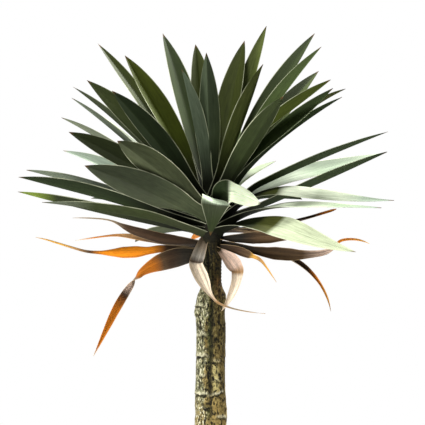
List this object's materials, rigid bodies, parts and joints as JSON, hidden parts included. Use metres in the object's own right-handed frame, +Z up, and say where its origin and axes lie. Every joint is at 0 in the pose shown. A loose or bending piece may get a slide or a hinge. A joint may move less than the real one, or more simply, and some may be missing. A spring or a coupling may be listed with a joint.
{
  "type": "yucca tree",
  "caption": "Yucca tree: slim ringed trunk cut flat at the ground, a round crown of stiff sword-shaped leaves on its tip, and a skirt of dry, twisted leaves hanging under it.",
  "frame": {"origin": "middle of the trunk's flat cut at ground level", "axes": "+Z up along the trunk; seen as in the picture, +X points to the right and +Y away from the viewer"},
  "size_m": [1.0217, 0.9098, 1.7921],
  "materials": {
    "trunk_bark": "rough grey-brown bark with leaf scars",
    "green_leaf": "leathery dark green with a pale margin",
    "dry_leaf": "dry and papery, orange to brown"
  },
  "bodies": {
    "root": {"trunk": "trunk_bark", "inner_leaf_01": "green_leaf", "inner_leaf_02": "green_leaf", "inner_leaf_03": "green_leaf", "inner_leaf_04": "green_leaf", "inner_leaf_05": "green_leaf", "inner_leaf_06": "green_leaf", "inner_leaf_07": "green_leaf", "upper_leaf_01": "green_leaf", "upper_leaf_02": "green_leaf", "upper_leaf_03": "green_leaf", "upper_leaf_04": "green_leaf", "upper_leaf_05": "green_leaf", "upper_leaf_06": "green_leaf", "upper_leaf_07": "green_leaf", "upper_leaf_08": "green_leaf", "upper_leaf_09": "green_leaf", "upper_leaf_10": "green_leaf", "upper_leaf_11": "green_leaf", "upper_leaf_12": "green_leaf", "middle_leaf_01": "green_leaf", "middle_leaf_02": "green_leaf", "middle_leaf_03": "green_leaf", "middle_leaf_04": "green_leaf", "middle_leaf_05": "green_leaf", "middle_leaf_06": "green_leaf", "middle_leaf_07": "green_leaf", "middle_leaf_08": "green_leaf", "middle_leaf_09": "green_leaf", "middle_leaf_10": "green_leaf", "middle_leaf_11": "green_leaf", "middle_leaf_12": "green_leaf", "lower_leaf_01": "green_leaf", "lower_leaf_02": "green_leaf", "lower_leaf_03": "green_leaf", "lower_leaf_04": "green_leaf", "lower_leaf_05": "green_leaf", "lower_leaf_06": "green_leaf", "lower_leaf_07": "green_leaf", "lower_leaf_08": "green_leaf", "lower_leaf_09": "green_leaf", "lower_leaf_10": "green_leaf", "lower_leaf_11": "green_leaf", "lower_leaf_12": "green_leaf", "lower_leaf_13": "green_leaf", "lower_leaf_14": "green_leaf", "lower_leaf_15": "green_leaf", "dry_leaf_01": "dry_leaf", "dry_leaf_02": "dry_leaf", "dry_leaf_03": "dry_leaf", "dry_leaf_04": "dry_leaf", "dry_leaf_05": "dry_leaf", "dry_leaf_06": "dry_leaf", "dry_leaf_07": "dry_leaf", "dry_leaf_08": "dry_leaf", "dry_leaf_09": "dry_leaf", "dry_leaf_10": "dry_leaf", "dry_leaf_11": "dry_leaf", "dry_leaf_12": "dry_leaf", "dry_leaf_13": "dry_leaf"}
  },
  "joints": []
}
